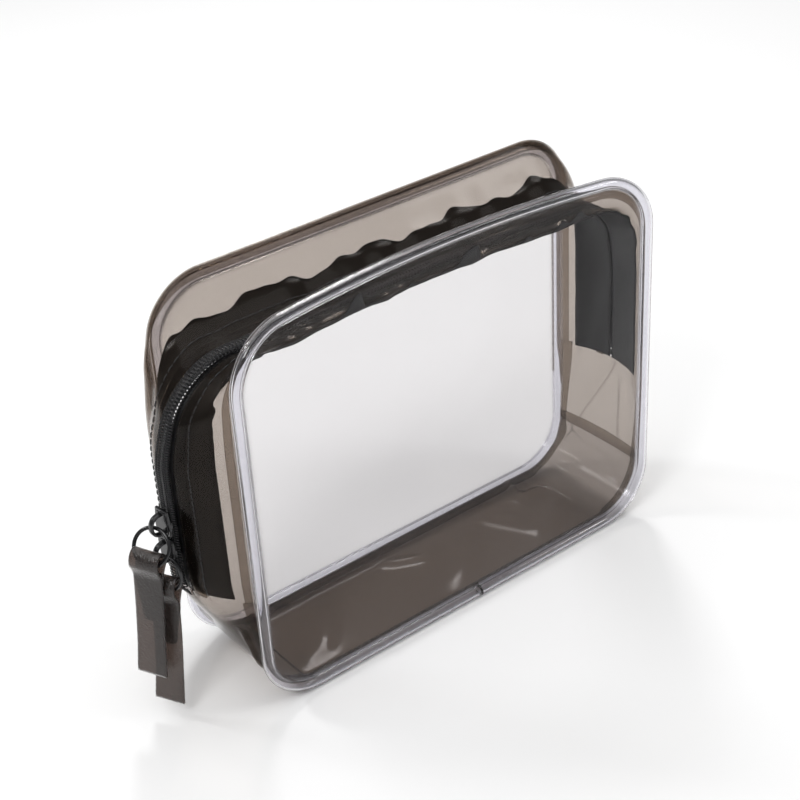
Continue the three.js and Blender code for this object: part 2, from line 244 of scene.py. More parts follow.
def run(s):
    """Place and outward direction on the seam line. s starts at the middle of the floor and goes round by
    the left end, the top and the right end."""
    s = np.mod(np.asarray(s, float), RUN_TOTAL)
    x, z, nx, nz = (np.zeros_like(s) for _ in range(4))

    def straight(i, x0, z0, dx, dz, out_x, out_z):
        m = (s >= RUN_MARKS[i]) & (s <= RUN_MARKS[i + 1])
        t = s[m] - RUN_MARKS[i]
        x[m], z[m] = x0 + dx * t, z0 + dz * t
        nx[m], nz[m] = out_x, out_z

    def corner(i, cx, cz, start):
        m = (s >= RUN_MARKS[i]) & (s <= RUN_MARKS[i + 1])
        angle = np.radians(start) - (s[m] - RUN_MARKS[i]) / CORNER
        nx[m], nz[m] = np.cos(angle), np.sin(angle)
        x[m], z[m] = cx + CORNER * nx[m], cz + CORNER * nz[m]

    straight(0, 0, SEAM_BOTTOM, -1, 0, 0, -1)
    corner(1, -STRAIGHT_X, LOW_CENTRE_Z, 270)
    straight(2, -HALF_WIDTH, LOW_CENTRE_Z, 0, 1, -1, 0)
    corner(3, -STRAIGHT_X, TOP_CENTRE_Z, 180)
    straight(4, -STRAIGHT_X, SEAM_TOP, 1, 0, 0, 1)
    corner(5, STRAIGHT_X, TOP_CENTRE_Z, 90)
    straight(6, HALF_WIDTH, TOP_CENTRE_Z, 0, -1, 1, 0)
    corner(7, STRAIGHT_X, LOW_CENTRE_Z, 0)
    straight(8, STRAIGHT_X, SEAM_BOTTOM, -1, 0, 0, -1)
    return x, z, nx, nz


def left_s(height):
    """Where the run passes a height on the left end."""
    return LEFT_LOW + height - LOW_CENTRE_Z


def right_s(height):
    """Where the run passes a height on the right end."""
    return RIGHT_LOW - height + LOW_CENTRE_Z


def belly(z):
    """How much of its full bulge the gusset has at a height."""
    return smooth(z, BELLY_START, BELLY_FULL) * (1 - BELLY_EASE * smooth(z, BELLY_EASES, SEAM_TOP))


def lie(points):
    """Moves straight-sided points to where the soft bag lies."""
    points = np.array(points, float)
    x, y, z = points[..., 0], points[..., 1], points[..., 2]
    across = np.clip(y / HALF_SPACING, -1, 1)
    slack = 1 - across ** 2
    at_left = np.where(x < 0, 1.0, 0.0)
    shift = at_left * CREST_SHIFT * (1 - smooth(z, CREST_FADES, SEAM_TOP))
    turned = at_left * smooth(z, TURN_START, TURN_FULL) * (1 - smooth(z, CREST_FADES, TURN_END))
    bulge = np.where(x < 0, BULGE_LEFT, BULGE_RIGHT)
    stretch = 1 + bulge * belly(z) * (1 - (across - shift * slack) ** 2)
    x2 = x * stretch
    y2 = y + (x + HALF_WIDTH) * stretch * math.tan(ZIP_YAW) * turned * slack
    z2 = z - TOP_SAG * smooth(z, SAG_START, SEAM_TOP) * slack
    front = smooth(-y, -FRONT_BOW_BACK, HALF_SPACING)
    middle = np.clip(1 - (x / HALF_WIDTH) ** 2, 0, 1) * smooth(z, SAG_START, SEAM_TOP) * front
    return np.stack([x2, y2 + FRONT_BOW_IN * middle, z2 + FRONT_BOW_UP * middle], -1)


def skin(s, y, out=0.0):
    """Points on the gusset: along the run, across it, and this far outwards."""
    s, y, out = np.broadcast_arrays(np.asarray(s, float), np.asarray(y, float), np.asarray(out, float))
    x, z, nx, nz = run(s)
    flat = 1 - smooth(np.abs(y), FLOOR_FLAT, FLOOR_LIFTED)
    drop = np.where(nz < -0.99, (SEAM_BOTTOM - FLOOR_GAP) * flat, 0.0)
    return lie(np.stack([x + nx * out, y, z + nz * out - drop], -1))


# ---- materials ----
def new_material(name):
    """An empty node material, its nodes and its links."""
    material = bpy.data.materials.new(name)
    material.use_nodes = True
    nodes = material.node_tree.nodes
    nodes.clear()
    return material, nodes, material.node_tree.links


def noise_bump(nodes, links, scale, strength, distance, detail):
    """A bump from noise in object space: its normal, and the noise itself."""
    where = nodes.new("ShaderNodeTexCoord")
    noise = nodes.new("ShaderNodeTexNoise")
    noise.inputs["Scale"].default_value = scale
    noise.inputs["Detail"].default_value = detail
    bump = nodes.new("ShaderNodeBump")
    bump.inputs["Strength"].default_value = strength
    bump.inputs["Distance"].default_value = distance
    links.new(where.outputs["Object"], noise.inputs["Vector"])
    links.new(noise.outputs["Fac"], bump.inputs["Height"])
    return bump.outputs["Normal"], noise.outputs["Fac"]


FILM_MIRROR = 0.006
EDGE_MIRROR = 0.9
MIRROR_POWER = 5.0
SLANT_POWER = 4.0
SLANT_DEPTH = 4


def film_material(name, through, through_far, milk_color, milk, roughness,
                  wave=0.15, grain_scale=26, depth=0.0012, sheen=FILM_MIRROR):
    """A thin soft-PVC film. Each of its two faces passes a tint, less of it at a slant, and mirrors more at
    a slant, as plastic does. Its body is a little cloudy."""
    material, nodes, links = new_material(name)
    output = nodes.new("ShaderNodeOutputMaterial")
    clear = nodes.new("ShaderNodeBsdfTransparent")
    cloud = nodes.new("ShaderNodeBsdfDiffuse")
    body = nodes.new("ShaderNodeMixShader")
    gloss = nodes.new("ShaderNodeBsdfAnisotropic")
    skin_mix = nodes.new("ShaderNodeMixShader")
    facing = nodes.new("ShaderNodeLayerWeight")
    steep = nodes.new("ShaderNodeMath")
    mirror = nodes.new("ShaderNodeMath")
    slant = nodes.new("ShaderNodeMath")
    tint = nodes.new("ShaderNodeMixRGB")
    slant_tint = nodes.new("ShaderNodeMixRGB")
    normal, grain = noise_bump(nodes, links, grain_scale, wave, depth, detail=2.0)
    facing.inputs["Blend"].default_value = 0.5
    steep.operation = "POWER"
    steep.inputs[1].default_value = MIRROR_POWER
    mirror.operation = "MULTIPLY_ADD"
    mirror.inputs[1].default_value = EDGE_MIRROR
    mirror.inputs[2].default_value = sheen
    slant.operation = "POWER"
    slant.inputs[1].default_value = SLANT_POWER
    cloud.inputs["Color"].default_value = (*milk_color, 1)
    gloss.inputs["Color"].default_value = (1, 1, 1, 1)
    gloss.inputs["Roughness"].default_value = roughness
    body.inputs["Fac"].default_value = milk
    tint.inputs["Color1"].default_value = (*through, 1)
    tint.inputs["Color2"].default_value = (*through_far, 1)
    slant_tint.inputs["Color2"].default_value = (*(c ** SLANT_DEPTH for c in through), 1)
    links.new(grain, tint.inputs["Fac"])
    links.new(facing.outputs["Facing"], slant.inputs[0])
    links.new(slant.outputs["Value"], slant_tint.inputs["Fac"])
    links.new(tint.outputs["Color"], slant_tint.inputs["Color1"])
    links.new(slant_tint.outputs["Color"], clear.inputs["Color"])
    links.new(normal, facing.inputs["Normal"])
    links.new(normal, gloss.inputs["Normal"])
    links.new(facing.outputs["Facing"], steep.inputs[0])
    links.new(steep.outputs["Value"], mirror.inputs[0])
    links.new(clear.outputs["BSDF"], body.inputs[1])
    links.new(cloud.outputs["BSDF"], body.inputs[2])
    links.new(mirror.outputs["Value"], skin_mix.inputs["Fac"])
    links.new(body.outputs["Shader"], skin_mix.inputs[1])
    links.new(gloss.outputs["BSDF"], skin_mix.inputs[2])
    links.new(skin_mix.outputs["Shader"], output.inputs["Surface"])
    return material


def solid_material(name, color, color_far, roughness, metallic=0.0, coat=0.0,
                   scale=300, bump=0.2, depth=0.0002):
    """An opaque material with a fine grain and a slight change of colour."""
    material, nodes, links = new_material(name)
    output = nodes.new("ShaderNodeOutputMaterial")
    shader = nodes.new("ShaderNodeBsdfPrincipled")
    tint = nodes.new("ShaderNodeMixRGB")
    normal, grain = noise_bump(nodes, links, scale, bump, depth, detail=4.0)
    tint.inputs["Color1"].default_value = (*color, 1)
    tint.inputs["Color2"].default_value = (*color_far, 1)
    shader.inputs["Roughness"].default_value = roughness
    shader.inputs["Metallic"].default_value = metallic
    shader.inputs["Coat Weight"].default_value = coat
    links.new(grain, tint.inputs["Fac"])
    links.new(tint.outputs["Color"], shader.inputs["Base Color"])
    links.new(normal, shader.inputs["Normal"])
    links.new(shader.outputs["BSDF"], output.inputs["Surface"])
    return material


def bead_material():
    """Clear soft PVC in a thick section, with the faintest lavender."""
    material, nodes, links = new_material("clear_bead")
    output = nodes.new("ShaderNodeOutputMaterial")
    shader = nodes.new("ShaderNodeBsdfPrincipled")
    normal, _ = noise_bump(nodes, links, scale=60, strength=0.12, distance=0.0008, detail=2.0)
    shader.inputs["Base Color"].default_value = (0.84, 0.835, 0.87, 1)
    shader.inputs["Roughness"].default_value = 0.04
    shader.inputs["IOR"].default_value = 1.45
    shader.inputs["Transmission Weight"].default_value = 1.0
    links.new(normal, shader.inputs["Normal"])
    links.new(shader.outputs["BSDF"], output.inputs["Surface"])
    return material


WHITE_MILK = (0.8, 0.8, 0.82)
BROWN_MILK = (0.14, 0.115, 0.10)
STRAP_MILK = (0.06, 0.045, 0.04)
CLEAR = film_material(
    "clear_film", (0.940, 0.936, 0.938), (0.930, 0.926, 0.929), WHITE_MILK, milk=0.004, roughness=0.05)
SMOKY = film_material(
    "smoky_film", (0.70, 0.66, 0.625), (0.67, 0.63, 0.595), BROWN_MILK, milk=0.015, roughness=0.11)
# A darker copy of the smoky film for the gusset's floor: painted shade standing in for the shaded floor under
# the bag seen through the film. The real film is the same smoky PVC all over.
SMOKY_FLOOR_PAINTED_SHADE = film_material(
    "smoky_floor_film_painted_shade", (0.62, 0.58, 0.55), (0.59, 0.55, 0.52), BROWN_MILK, milk=0.015, roughness=0.11)
STRAP = film_material(
    "strap_film", (0.33, 0.275, 0.25), (0.27, 0.225, 0.205), STRAP_MILK, milk=0.25, roughness=0.3,
    wave=0.8, grain_scale=1300, depth=0.00035, sheen=0.05)
TAPE = solid_material(
    "black_tape", (0.006, 0.006, 0.007), (0.014, 0.014, 0.015), roughness=0.5,
    scale=3500, bump=0.06, depth=0.0001)
COIL = solid_material("black_nylon", (0.006, 0.006, 0.007), (0.014, 0.014, 0.016), roughness=0.28)
METAL = solid_material(
    "black_enamel", (0.008, 0.008, 0.009), (0.016, 0.016, 0.018), roughness=0.22, metallic=0.4, coat=0.4)
THREAD = solid_material(
    "black_thread", (0.008, 0.008, 0.009), (0.03, 0.03, 0.032), roughness=0.6, scale=1500)
BEADING = bead_material()


# ---- walls ----
WALL_BOW = 1.6
WALL_INSET = BEAD_RADIUS - 0.25
WALL_WAVE = 0.5
WALL_GATHER_START = 88.0
WALL_GATHER_FULL = 140.0
WALL_GATHERS = ((13.0, 0.16), (21.0, 0.25), (35.0, 0.3))
WALL_SEED = 21
# Each crease: where it starts and ends on the sheet, its height and its width.
WALL_CREASES = (
    ((-60, 112), (20, 84), 0.5, 5.0),
    ((-20, 118), (62, 106), -0.5, 4.0),
    ((-48, 60), (-8, 96), 0.35, 5.0),
    ((10, 40), (74, 66), 0.4, 6.0),
    ((58, 128), (80, 60), 0.5, 3.5),
    ((-78, 118), (-60, 66), -0.5, 4.0),
)


def wall_relief(x, z, side):
    """Slow waves over a wall, finer below the top seam, with a few soft creases."""
    slow = WALL_WAVE * np.sin(x / 19.0 + z / 31.0) * np.sin(z / 23.0 + 0.7)
    fine = wander(x + 0.3 * z, WALL_SEED + int(side), WALL_GATHERS)
    fine = fine * smooth(z, WALL_GATHER_START, WALL_GATHER_FULL)
    creases = sum(ridge(side * x, z, *crease) for crease in WALL_CREASES)
    return slow + fine + creases


def wall_points(y, offset, rings=26, around=180):
    """One face of a wall: rings that shrink from the seam to the middle, and the middle point."""
    s = np.linspace(0, RUN_TOTAL, around, endpoint=False)
    x, z, nx, nz = run(s)
    x, z = x - nx * WALL_INSET, z - nz * WALL_INSET
    middle_z = (SEAM_TOP + SEAM_BOTTOM) / 2
    share = np.linspace(1, 0, rings, endpoint=False)
    px = x[None] * share[:, None]
    pz = middle_z + (z[None] - middle_z) * share[:, None]
    bow = WALL_BOW * (1 - share[:, None] ** 2) * np.ones_like(px)
    side = np.sign(y)
    py = y + side * (bow + wall_relief(px, pz, side) * (1 - share[:, None] ** 6)) + offset
    middle = lie(np.array([[0.0, y + side * WALL_BOW + offset, middle_z]]))
    return lie(np.stack([px, py, pz], -1)), middle


def wall(name, y):
    """A bowed clear film inside its bead."""
    outer, outer_middle = wall_points(y, -FILM / 2)
    inner, inner_middle = wall_points(y, FILM / 2)
    rings, around = outer.shape[:2]
    count = rings * around
    points = np.concatenate([outer.reshape(-1, 3), outer_middle, inner.reshape(-1, 3), inner_middle])
    faces = grid_faces(rings, around, closed_columns=True)
    faces += grid_faces(rings, around, closed_columns=True, start=count + 1, flip=True)
    last = (rings - 1) * around
    for j in range(around):
        k = (j + 1) % around
        faces.append((last + j, last + k, count))
        faces.append((count + 1 + last + k, count + 1 + last + j, 2 * count + 1))
        faces.append((k, j, count + 1 + j, count + 1 + k))
    return mesh_object(name, points, faces, CLEAR)


SPLICE_X = 4.0
SPLICE_GAP = 0.06
BEAD_STEP = 1.6
BEAD_OUTSIDE = BEAD_RADIUS - 0.2
BEAD_BORE = BEAD_RADIUS * 0.55


def bead(name, y, s0, s1, closed):
    """A hollow bead along a wall's seam."""
    s = np.linspace(s0, s1, int((s1 - s0) / BEAD_STEP), endpoint=not closed)
    x, z, _, _ = run(s)
    path = lie(np.stack([x, np.full_like(x, y), z], -1))
    points, faces = tube(path, BEAD_OUTSIDE, 24, closed=closed, bore=BEAD_BORE)
    return mesh_object(name, points, faces, BEADING)


def front_bead():
    """The front bead, whose two ends meet at the bottom."""
    return bead("front_bead", -HALF_SPACING, SPLICE_GAP - SPLICE_X, RUN_TOTAL - SPLICE_GAP - SPLICE_X, False)


def back_bead():
    """The back bead, without a visible joint."""
    return bead("back_bead", HALF_SPACING, 0, RUN_TOTAL, True)


# ---- gusset ----
def right_end(height):
    """The run's place on the right end, counted back from the middle of the floor."""
    return right_s(height) - RUN_TOTAL


GATHERS = ((12.5, 0.16), (19.0, 0.3), (33.0, 0.45))
GATHER_ROW = 12.5
GATHER_WIDTH = 5.0
GATHER_SHARE_AT_ENDS = 0.3
GATHERS_BEFORE_CORNER = 10.0
GATHERS_PAST_CORNER = 40.0
GATHERS_START = 45.0
GATHERS_EASE = 30.0
FRONT_GATHER_SEED = 3
BACK_GATHER_SEED = 8
ROLL_HEIGHT = 3.9
ROLL_FOOT = 14.0
ROLL_START = 17.0
ROLL_CREST = 21.5
ROLL_OVER = 24.6
ROLL_EDGE = 26.5
ROLL_FALL = 0.45
ROLL_START_HEIGHT = 28.0
ROLL_FULL_HEIGHT = 62.0
DIP_DEPTH = 6.0
DIP_MIDDLE = -17.0
DIP_INSIDE = 5.5
DIP_OUTSIDE = 2.6
DIP_EASE = 45.0
GUSSET_CREASES = (
    ((right_end(56), 0), (right_end(27), 14), 2.2, 1.5),
    ((right_end(32), 12), (right_end(9), 22), 1.9, 1.7),
    ((right_end(22), 19), (right_end(17), 3), -1.9, 1.4),
    ((right_end(17), 6), (right_end(11), -14), 1.5, 1.5),
    ((right_end(52), -6), (right_end(22), -13), -1.2, 2.2),
    ((-61, 22), (-59, 10), -2, 1.8),
    ((-58, 13), (-71, 11), -2.2, 1.5),
    ((-86, 18), (-86, 5), -1.7, 1.8),
    ((-34, 18), (-52, -14), -0.4, 4.0),
    ((12, 16), (-4, 8), -0.9, 2.6),
    ((62, -14), (40, 14), -0.5, 4.0),
    ((left_s(34), -16), (left_s(12), -19), 1.2, 1.4),
    ((left_s(30), 8), (left_s(8), 17), -1.4, 2.0),
)
FLOOR_WAVES = ((38.0, 0.45), (61.0, 0.45))
FLOOR_WAVES_REACH = 14.0
FLOOR_SEED = 12


def ripples(s, y):
    """Gathers in the film where the zip tape is sewn in, strongest along the top."""
    top = smooth(s, LEFT_HIGH - GATHERS_BEFORE_CORNER, LEFT_HIGH + GATHERS_PAST_CORNER)
    top = top * (1 - smooth(s, RIGHT_HIGH - GATHERS_PAST_CORNER, RIGHT_HIGH + GATHERS_BEFORE_CORNER))
    start = left_s(LEFT_ZIP_END + GATHERS_START)
    zipped = smooth(s, start, start + GATHERS_EASE)
    zipped = zipped * (1 - smooth(s, right_s(RIGHT_ZIP_END + GATHERS_EASE), right_s(RIGHT_ZIP_END)))
    wave = np.where(y < 0, wander(s, FRONT_GATHER_SEED, GATHERS), wander(s, BACK_GATHER_SEED, GATHERS))
    share = GATHER_SHARE_AT_ENDS + (1 - GATHER_SHARE_AT_ENDS) * top
    return share * zipped * wave * np.exp(-((np.abs(y) - GATHER_ROW) / GATHER_WIDTH) ** 2)


def swelling(y, middle, low_side, high_side):
    """A smooth rise across the gusset, with a width of its own on each side of its middle."""
    width = np.where(y < middle, low_side, high_side)
    return np.exp(-((y - middle) / width) ** 2)


def gathered(s, y):
    """How far the film and the tape under it lie off their plain curve, along the zip."""
    top = smooth(s, LEFT_HIGH, LEFT_HIGH + DIP_EASE) * (1 - smooth(s, RIGHT_HIGH - DIP_EASE, RIGHT_HIGH))
    return ripples(s, y) - DIP_DEPTH * top * swelling(y, DIP_MIDDLE, DIP_OUTSIDE, DIP_INSIDE)


def rolled(s):
    """How far the film rolls over the back bead: all the way round, apart from the floor."""
    s = np.mod(s, RUN_TOTAL)
    at_left = smooth(s, left_s(ROLL_START_HEIGHT), left_s(ROLL_FULL_HEIGHT))
    at_right = 1 - smooth(s, right_s(ROLL_FULL_HEIGHT), right_s(ROLL_START_HEIGHT))
    return at_left * at_right


def over_back_bead(s, y):
    """Lengthens the last of the film so that it reaches over the back bead."""
    reach = 1 + (ROLL_EDGE - FILM_EDGE) / (FILM_EDGE - ROLL_START) * rolled(s)
    return np.where(y > ROLL_START, ROLL_START + (y - ROLL_START) * reach, y)


def relief(s, y):
    """Everything that lifts the gusset's film off its plain curve."""
    creases = sum(ridge(s, y, *crease) for crease in GUSSET_CREASES)
    swell = np.minimum(wander(s + 0.8 * y, FLOOR_SEED, FLOOR_WAVES), 0)
    swell = swell * (1 - smooth(np.abs(s), STRAIGHT_X - 5, STRAIGHT_X + 15))
    swell = swell * np.exp(-(y / FLOOR_WAVES_REACH) ** 4)
    s = np.mod(s, RUN_TOTAL)
    roll = ROLL_HEIGHT * rolled(s) * smooth(y, ROLL_FOOT, ROLL_CREST)
    roll = roll * (1 - ROLL_FALL * smooth(y, ROLL_OVER, ROLL_EDGE))
    return creases + swell + roll + gathered(s, y)


def film_strip(s0, s1, y0, y1, columns, step, out=0.0, open_ends=False):
    """Film along the run from s0 to s1 and across it from y0 to y1."""
    rows = max(2, int((s1 - s0) / step) + 1)
    s, y = np.meshgrid(np.linspace(s0, s1, rows), np.linspace(y0, y1, columns), indexing="ij")
    y = over_back_bead(s, y)
    lift = relief(s, y)
    outer, inner = skin(s, y, out + lift), skin(s, y, out + lift - FILM)
    return sheet_solid(outer, inner, open_start=open_ends, open_end=open_ends)


SLIT = 4.6
FILM_STEP = 1.2
BOTTOM_HEM = 3.0
ZIP_HEM = 2.2
ZIP_FOLD = 3.5
UNDER_BOTTOM = -FILM - 0.15
UNDER_ZIP = -FILM - 0.1


def bottom_gusset():
    """The floor's film and the closed ends, with a hem under each seam. The floor takes the darker copy of
    the smoky film as painted shade, and the ends above the weld seams take the plain smoky film.
    """
    start, end = right_end(RIGHT_ZIP_END), left_s(LEFT_ZIP_END)
    parts = [film_strip(start, end, FILM_EDGE, -FILM_EDGE, 75, FILM_STEP, open_ends=True)]
    for side in (-1, 1):
        edges = sorted((side * (FILM_EDGE - BOTTOM_HEM), side * FILM_EDGE), reverse=True)
        parts.append(film_strip(start, end, *edges, 6, 2.0, out=UNDER_BOTTOM))
    gusset = mesh_object("bottom_gusset_film", *joined(parts), SMOKY_FLOOR_PAINTED_SHADE)
    gusset.data.materials.append(SMOKY)
    # Faces below the weld seam's height get the darker painted-shade copy of the smoky film; faces above it
    # get the plain one.
    for face in gusset.data.polygons:
        seam = LEFT_SEAM if face.center.x < 0 else RIGHT_SEAM
        face.material_index = 1 if face.center.z > seam * MM else 0
    return gusset


def zip_gusset(name, side):
    """One half of the slit film, with a hem at the seam and a fold at the slit."""
    s0, s1 = left_s(LEFT_ZIP_END), right_s(RIGHT_ZIP_END)
    spans = (
        (SLIT, FILM_EDGE, 34, 0.0),
        (FILM_EDGE - ZIP_HEM, FILM_EDGE, 9, UNDER_ZIP),
        (SLIT + 0.1, SLIT + 0.1 + ZIP_FOLD, 5, UNDER_ZIP),
    )
    parts = []
    for near, far, columns, out in spans:
        edges = sorted((side * near, side * far), reverse=True)
        parts.append(film_strip(s0, s1, *edges, columns, FILM_STEP, out=out, open_ends=out == 0.0))
    return mesh_object(name, *joined(parts), SMOKY)


TAPE_START = 0.5
TAPE_EDGE = 16.8
TAPE_EDGE_MOST = 20.5
TAPE_THICKNESS = 0.45
TAPE_DEPTH = 1.25
TAPE_EASE = 20.0
TAPE_SEED = 6
TAPE_WANDER = {
    -1: ((7.5, 0.45), (13.0, 0.8), (24.0, 1.3), (47.0, 1.2)),
    1: ((10.0, 0.25), (18.0, 0.6), (41.0, 1.1)),
}


def tape_edge(s, side):
    """Half the zip tape's width. Its outer edge wanders where the film is gathered."""
    after_left = smooth(s, LEFT_HIGH - TAPE_EASE, LEFT_HIGH + TAPE_EASE)
    before_right = 1 - smooth(s, RIGHT_HIGH - TAPE_EASE, RIGHT_HIGH + TAPE_EASE)
    along = after_left * before_right
    return np.minimum(TAPE_EDGE + along * wander(s, TAPE_SEED + side, TAPE_WANDER[side]), TAPE_EDGE_MOST)


def zip_tape(name, side):
    """One woven tape under the film, from the coil outwards."""
    s0, s1 = left_s(LEFT_ZIP_END + 1), right_s(RIGHT_ZIP_END + 1)
    rows, columns = int((s1 - s0) / FILM_STEP), 14
    s, t = np.meshgrid(np.linspace(s0, s1, rows), np.linspace(0, 1, columns), indexing="ij")
    share = t if side < 0 else 1 - t
    y = side * (TAPE_START + (tape_edge(s, side) - TAPE_START) * share)
    lift = gathered(s, y) - TAPE_DEPTH
    return mesh_object(name, *sheet_solid(skin(s, y, lift), skin(s, y, lift - TAPE_THICKNESS)), TAPE)


COIL_PITCH = 1.25
COIL_WIRE = 0.29
COIL_MIDDLE = 1.35
COIL_REACH = 1.75
COIL_LIFT = 0.35
COIL_RISE = 0.72
COIL_THREAD_ROWS = (1.7, 2.5)
COIL_THREAD = 0.16
COIL_THREAD_LIFT = 1.25


def coil(name, side):
    """One half of the zip: a flattened spiral, sewn down with two rows of thread."""
    s0, s1 = left_s(LEFT_ZIP_END + 3), right_s(RIGHT_ZIP_END + 3)
    turns = int((s1 - s0) / COIL_PITCH)
    points_per_turn = 12
    theta = np.arange(turns * points_per_turn) * 2 * np.pi / points_per_turn
    s = s0 + COIL_PITCH * theta / (2 * np.pi) + (COIL_PITCH / 2 if side > 0 else 0)
    y = side * (COIL_MIDDLE + COIL_REACH * np.cos(theta))
    out = COIL_LIFT + COIL_RISE * np.sin(theta)
    parts = [tube(skin(s, y, out), COIL_WIRE, 6)]
    for row in COIL_THREAD_ROWS:
        s = np.arange(s0, s1, COIL_PITCH / 4)
        wave = COIL_THREAD * np.cos(2 * np.pi * (s - s0) / COIL_PITCH)
        parts.append(tube(skin(s, side * row, COIL_THREAD_LIFT + wave), COIL_THREAD, 5))
    return mesh_object(name, *joined(parts), COIL)


STITCH = 2.6
STITCH_GAP = 0.7
STITCH_ROW = 10.3
STITCH_RADIUS = 0.2


def stitching(name, side):
    """A row of lock stitches through the film and the tape."""
    s0, s1 = left_s(LEFT_ZIP_END + 2), right_s(RIGHT_ZIP_END + 2)
    parts = []
    y = side * STITCH_ROW
    for start in np.arange(s0, s1 - STITCH, STITCH + STITCH_GAP):
        s = np.linspace(start, start + STITCH, 6)
        arch = 0.02 + 0.2 * np.sin(np.linspace(0, np.pi, 6))
        parts.append(tube(skin(s, y, arch + gathered(s, y)), STITCH_RADIUS, 6))
    return mesh_object(name, *joined(parts), THREAD)


TACK_TURNS = 16
TACK_LENGTH = 1.8
TACK_HALF_WIDTH = 3.6
TACK_RADIUS = 0.22


def bar_tack(name, s_end, step):
    """Zigzag thread over the ends of the coils."""
    t = np.arange(TACK_TURNS)
    s = s_end + step * (0.5 + TACK_LENGTH * t / TACK_TURNS)
    y = np.where(t % 2 == 0, -TACK_HALF_WIDTH, TACK_HALF_WIDTH)
    path = skin(s, y, 0.5)
    fine = []
    for a, b in zip(path[:-1], path[1:]):
        fine += [a + (b - a) * k / 6 for k in range(6)]
    return mesh_object(name, *tube(np.array(fine), TACK_RADIUS, 6), THREAD)


WELD_HALF = 2.2


def weld_seam(name, s_middle):
    """The lap where the two gusset films are welded: a second ply under the first."""
    start, end = s_middle - WELD_HALF, s_middle + WELD_HALF
    ply = film_strip(start, end, FILM_EDGE, -FILM_EDGE, 30, 0.7, out=-FILM - 0.2)
    return mesh_object(name, *ply, SMOKY)


# ---- sliders and pulls ----
SHARP = 0.9


def slab(outline, x, thickness):
    """A plate across x from an outline of (y, z), with soft edges."""
    mesh = bmesh.new()
    near = [mesh.verts.new((x, y, z)) for y, z in outline]
    face = mesh.faces.new(near)
    extruded = bmesh.ops.extrude_face_region(mesh, geom=[face])
    moved = [v for v in extruded["geom"] if isinstance(v, bmesh.types.BMVert)]
    bmesh.ops.translate(mesh, verts=moved, vec=(thickness, 0, 0))
    bmesh.ops.recalc_face_normals(mesh, faces=mesh.faces)
    rim = [edge for edge in mesh.edges if edge.calc_face_angle(0) > SHARP]
    bmesh.ops.bevel(mesh, geom=rim, offset=thickness * 0.28, segments=3, affect="EDGES", profile=0.5)
    mesh.verts.index_update()
    points = np.array([v.co[:] for v in mesh.verts])
    faces = [tuple(v.index for v in f.verts) for f in mesh.faces]
    mesh.free()
    return points, faces


SLIDER_LENGTH = 11.0
OUTER_PLATE = -3.5
INNER_PLATE = 2.9
PLATE = 1.1
NOSE_HALF_WIDTH = 4.2
TAIL_HALF_WIDTH = 3.1
SHOULDER = 0.25
NOSE_TAPER = 0.55
NOSE_ROUND = 2.2


def shield(up, grow=0.0):
    """A slider's outline, wide at its nose and narrower at its tail. The nose points up or down."""
    half, nose, tail = SLIDER_LENGTH / 2 + grow, NOSE_HALF_WIDTH + grow, TAIL_HALF_WIDTH + grow
    right = [(tail, -half), (nose, half * SHOULDER)]
    for t in np.linspace(0.15, 1, 7):
        y = nose - (nose * NOSE_TAPER) * t ** NOSE_ROUND
        z = half * SHOULDER + half * (1 - SHOULDER) * (1 - (1 - t) ** NOSE_ROUND)
        right.append((y, z))
    outline = [(y, z * up) for y, z in right] + [(-y, z * up) for y, z in reversed(right)]
    return outline if up > 0 else outline[::-1]


def on_zip(points, bottom):
    """From a slider's own frame, -x out of the film and z up from its lower end, to the bag's."""
    origin = lie([-HALF_WIDTH, 0.0, bottom])
    along_x = [math.cos(ZIP_YAW), math.sin(ZIP_YAW), 0]
    along_y = [-math.sin(ZIP_YAW), math.cos(ZIP_YAW), 0]
    turn = np.array([along_x, along_y, [0, 0, 1]])
    return np.asarray(points) @ turn + [origin[0], origin[1], bottom]


POST_HALF_LENGTH = 3.3
POST_HALF_WIDTH = 0.3
PAD_INSET = 1.1
PAD_RISE = 0.3
LIP_OUTSIDE = 4.15
LIP_INSIDE = 3.6
LIP_HALF_LENGTH = 1.3


def rectangle(y0, y1, half_length):
    """The four corners of an outline in y and z."""
    return [(y0, -half_length), (y1, -half_length), (y1, half_length), (y0, half_length)]


def slider_body(name, up):
    """Two shield plates joined by a post, the outer one with folded lips and a raised pad."""
    bottom = box_mm(name)[0][2]
    post = rectangle(-POST_HALF_WIDTH, POST_HALF_WIDTH, POST_HALF_LENGTH)
    parts = [
        slab(shield(up), OUTER_PLATE, PLATE),
        slab(shield(up, -PAD_INSET), OUTER_PLATE - PAD_RISE, 2 * PAD_RISE),
        slab(shield(up), INNER_PLATE, PLATE),
        slab(post, OUTER_PLATE + 0.6, INNER_PLATE - OUTER_PLATE),
    ]
    for side in (-1, 1):
        near, far = sorted((side * LIP_OUTSIDE, side * LIP_INSIDE))
        parts.append(slab(rectangle(near, far, LIP_HALF_LENGTH), OUTER_PLATE + 0.7, 1.0))
    points, faces = joined(parts)
    points = on_zip(points + np.array([0, 0, SLIDER_LENGTH / 2]), bottom)
    return mesh_object(name + "_cast", points, faces, METAL, shade=False)


BRIDGE_CROWN = 4.65
BRIDGE_HALF = 3.85
BRIDGE_SQUARENESS = 0.62
BRIDGE_FOOT = 0.3
BRIDGE_SECTION = (
    (1.0, 0.35), (0.75, 0.55), (-0.75, 0.55), (-1.0, 0.35),
    (-1.0, -0.35), (-0.75, -0.55), (0.75, -0.55), (1.0, -0.35),
)


